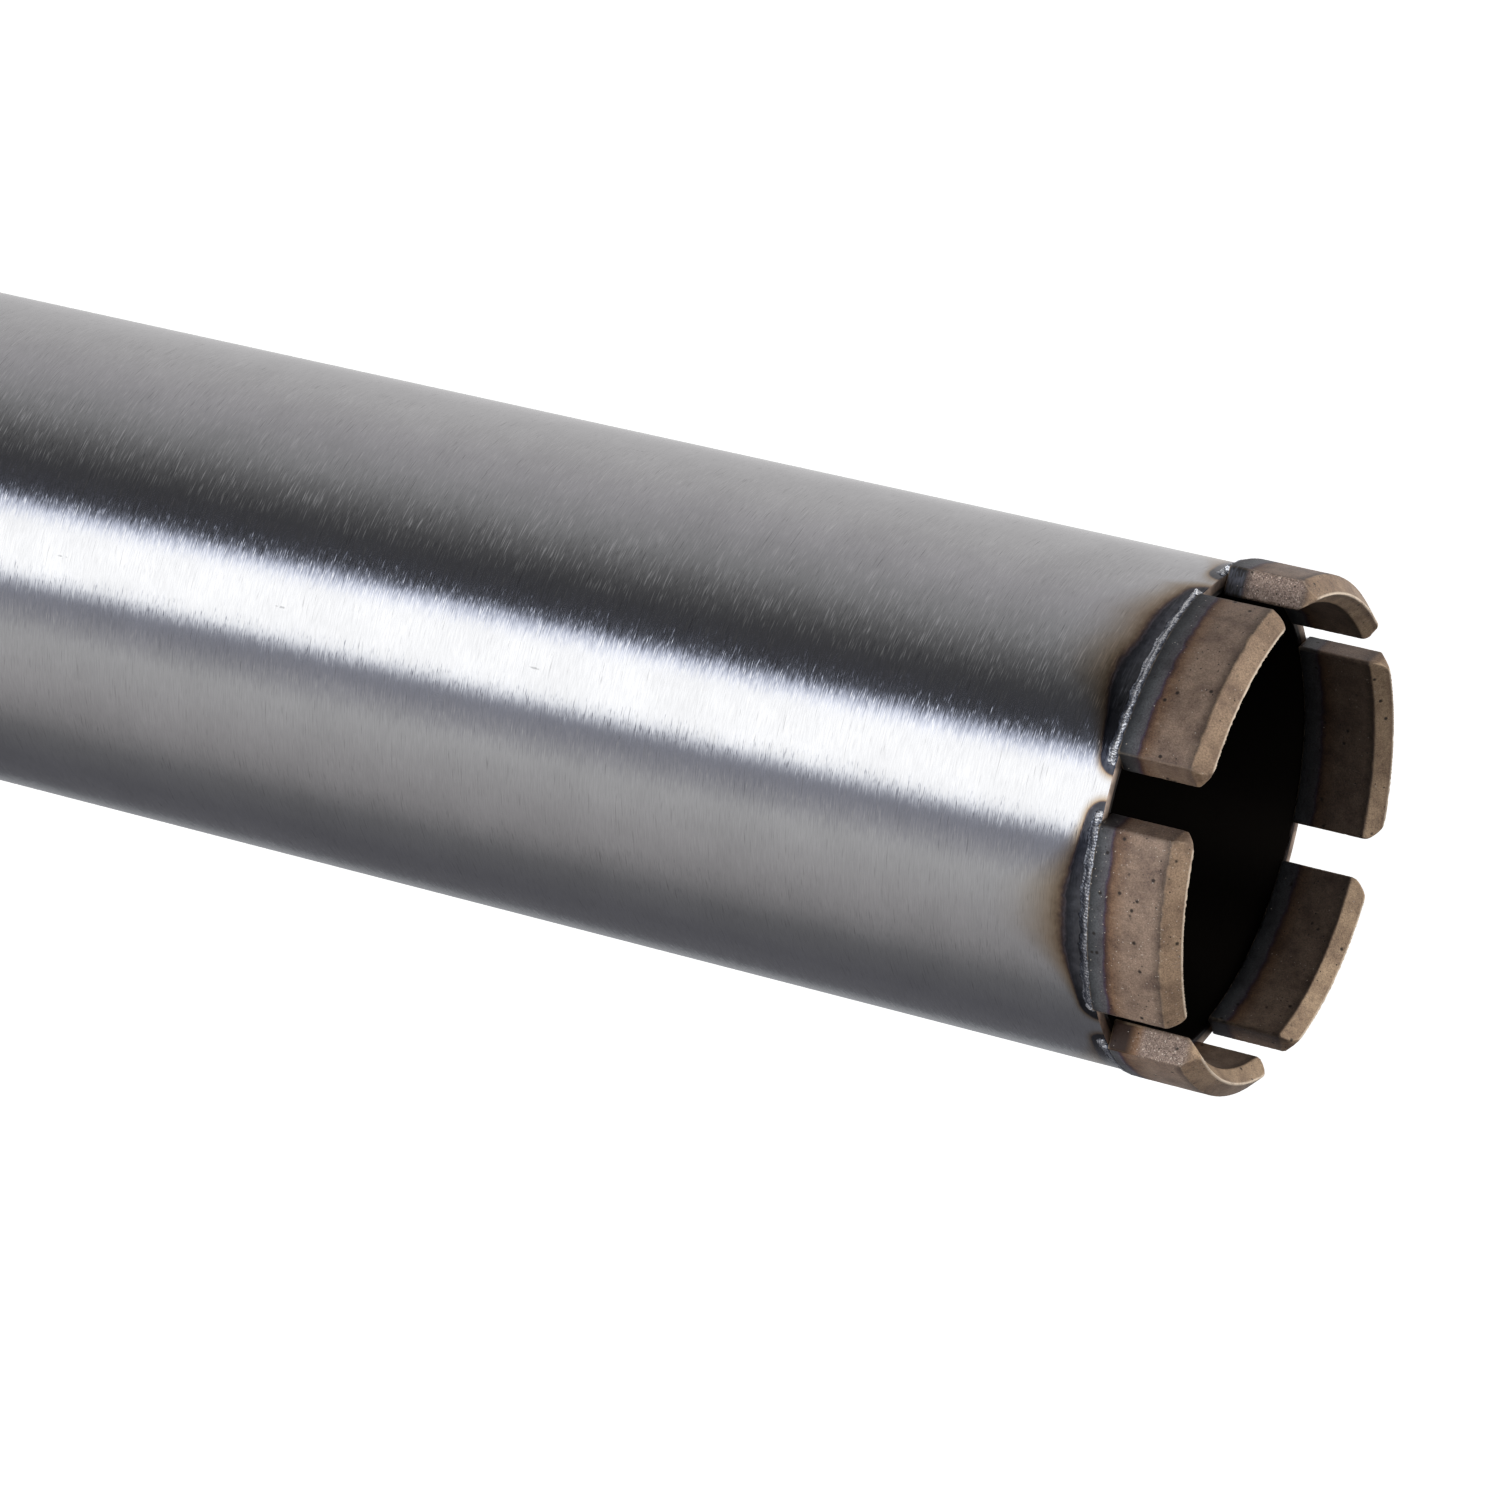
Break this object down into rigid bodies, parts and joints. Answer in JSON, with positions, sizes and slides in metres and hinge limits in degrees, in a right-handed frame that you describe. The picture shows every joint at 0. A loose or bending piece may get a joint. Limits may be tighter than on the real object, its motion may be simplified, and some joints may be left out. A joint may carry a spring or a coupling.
{
  "type": "diamond core bit",
  "caption": "Wet diamond core bit: thin steel barrel with roof-topped sintered segments welded round its rim and a hexagonal hub with a female thread behind.",
  "frame": {"origin": "on the bit's axis at the seating face of the threaded hub, which is the lowest face as the bit stands", "axes": "+Z along the bit's axis from the hub to the crown; +X through the middle of the first segment"},
  "size_m": [0.0626, 0.0627, 0.412],
  "materials": {
    "barrel_steel": "brushed round the tube, with heat tints beside the welds",
    "turned_steel": "turned, with fine tool marks",
    "weld_metal": "rippled bead, bright on its crests and dark in its grooves",
    "sintered_segment": "sintered bronze-brown powder metal with pores and diamond grit"
  },
  "bodies": {
    "root": {"barrel_tube": "barrel_steel", "end_plate": "turned_steel", "end_plate_weld": "weld_metal", "threaded_hub": "turned_steel", "hub_weld": "weld_metal", "segment_1": "sintered_segment", "segment_2": "sintered_segment", "segment_3": "sintered_segment", "segment_4": "sintered_segment", "segment_5": "sintered_segment", "segment_6": "sintered_segment", "segment_weld_1": "weld_metal", "segment_weld_2": "weld_metal", "segment_weld_3": "weld_metal", "segment_weld_4": "weld_metal", "segment_weld_5": "weld_metal", "segment_weld_6": "weld_metal"}
  },
  "joints": []
}
